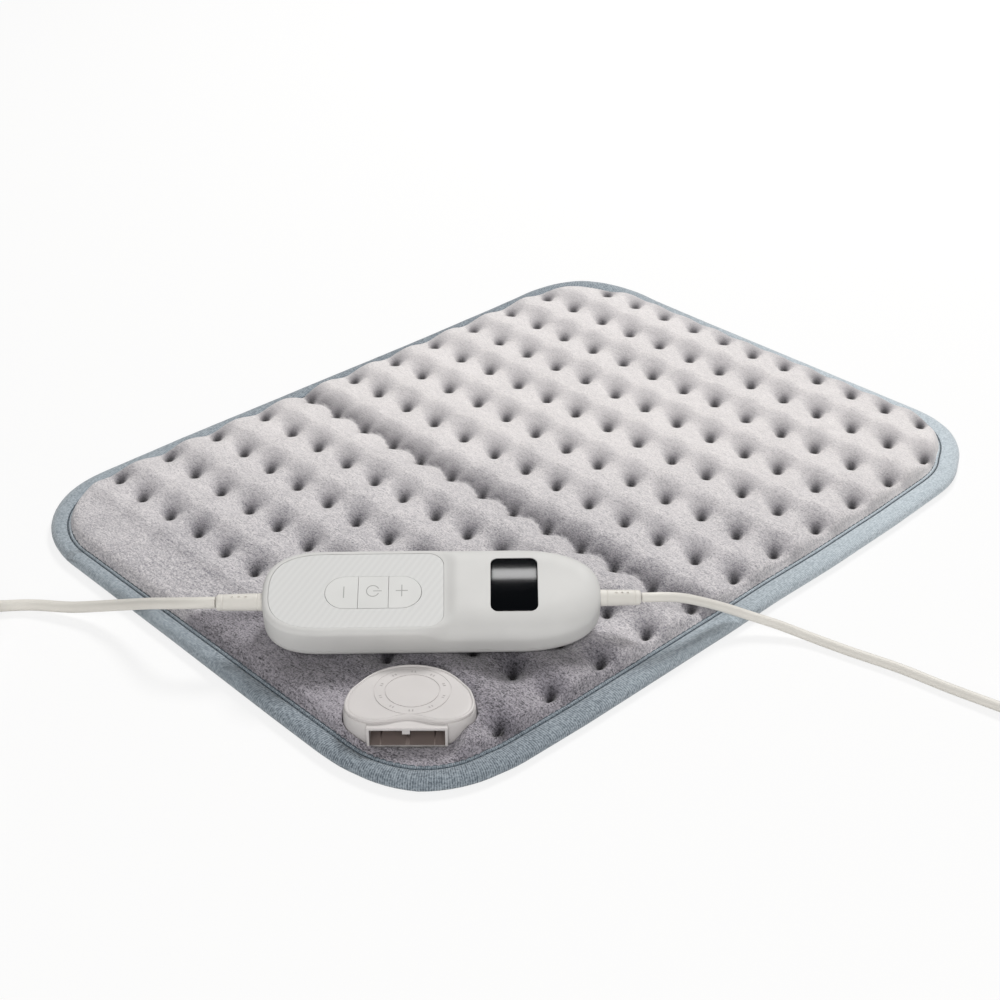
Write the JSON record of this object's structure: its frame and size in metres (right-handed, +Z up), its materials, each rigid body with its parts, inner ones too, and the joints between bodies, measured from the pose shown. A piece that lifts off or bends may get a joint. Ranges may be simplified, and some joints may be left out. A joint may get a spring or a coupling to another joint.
{
  "type": "heating pad with controller",
  "caption": "Tufted plush heating pad with a bound edge, a corner socket and a push-button controller lying on it with its mains cord and pad lead.",
  "frame": {"origin": "middle of the pad's underside, on the surface it lies on", "axes": "+X along the pad's long side, +Y along its short side, +Z up; the socket is near the -X -Y corner"},
  "size_m": [0.5435, 0.456, 0.0393],
  "materials": {
    "plush": "short plush pile",
    "backing": "woven",
    "felt": "felt",
    "tape": "woven tape",
    "heating_wire": "matte",
    "socket_plastic": "satin",
    "block_plastic": "matte",
    "contact_brass": "polished",
    "fuse_body": "matte",
    "shell_plastic": "satin",
    "panel_plastic": "fine grain",
    "switch_plastic": "matte",
    "window": "gloss",
    "display": "matte",
    "board": "matte",
    "steel": "bright",
    "cord_sheath": "satin",
    "tie_strap": "woven strap"
  },
  "bodies": {
    "pad_and_controller": {"plush_cover": "plush", "back_cover": "backing", "heating_felt": "felt", "edge_binding": "tape", "heating_wire": "heating_wire", "socket_housing": "socket_plastic", "socket_base": "socket_plastic", "connector_body": "socket_plastic", "socket_contact_block": "block_plastic", "socket_contact_1": "contact_brass", "socket_contact_2": "contact_brass", "socket_contact_3": "contact_brass", "socket_contact_4": "contact_brass", "connector_contact_1": "contact_brass", "connector_contact_2": "contact_brass", "connector_contact_3": "contact_brass", "connector_contact_4": "contact_brass", "thermal_fuse": "fuse_body", "controller_bottom_shell": "shell_plastic", "controller_top_shell": "shell_plastic", "face_panel": "panel_plastic", "minus_switch": "switch_plastic", "power_switch": "switch_plastic", "plus_switch": "switch_plastic", "display_window": "window", "display_module": "display", "circuit_board": "board", "case_screw_1": "steel", "case_screw_2": "steel", "case_screw_3": "steel", "case_screw_4": "steel", "plug_pin_1": "steel", "plug_pin_2": "steel", "mains_strain_relief": "cord_sheath", "lead_strain_relief": "cord_sheath", "mains_cord": "cord_sheath", "mains_coil": "cord_sheath", "mains_cord_tail": "cord_sheath", "pad_lead": "cord_sheath", "pad_lead_coil": "cord_sheath", "pad_lead_tail": "cord_sheath", "plug_body": "cord_sheath", "mains_cord_tie": "tie_strap", "pad_lead_tie": "tie_strap"},
    "minus_button_body": {"minus_button": "panel_plastic", "minus_plunger": "switch_plastic"},
    "power_button_body": {"power_button": "panel_plastic", "power_plunger": "switch_plastic"},
    "plus_button_body": {"plus_button": "panel_plastic", "plus_plunger": "switch_plastic"}
  },
  "joints": [
    {"name": "minus_press", "type": "slide", "parent": "pad_and_controller", "child": "minus_button_body", "axis": [0.176, 0.1897, -0.9659], "range_m": [0, 0.0006], "stiffness_N_per_m": 400, "springref_m": -0.0005},
    {"name": "power_press", "type": "slide", "parent": "pad_and_controller", "child": "power_button_body", "axis": [0.176, 0.1897, -0.9659], "range_m": [0, 0.0006], "stiffness_N_per_m": 400, "springref_m": -0.0005},
    {"name": "plus_press", "type": "slide", "parent": "pad_and_controller", "child": "plus_button_body", "axis": [0.176, 0.1897, -0.9659], "range_m": [0, 0.0006], "stiffness_N_per_m": 400, "springref_m": -0.0005}
  ]
}
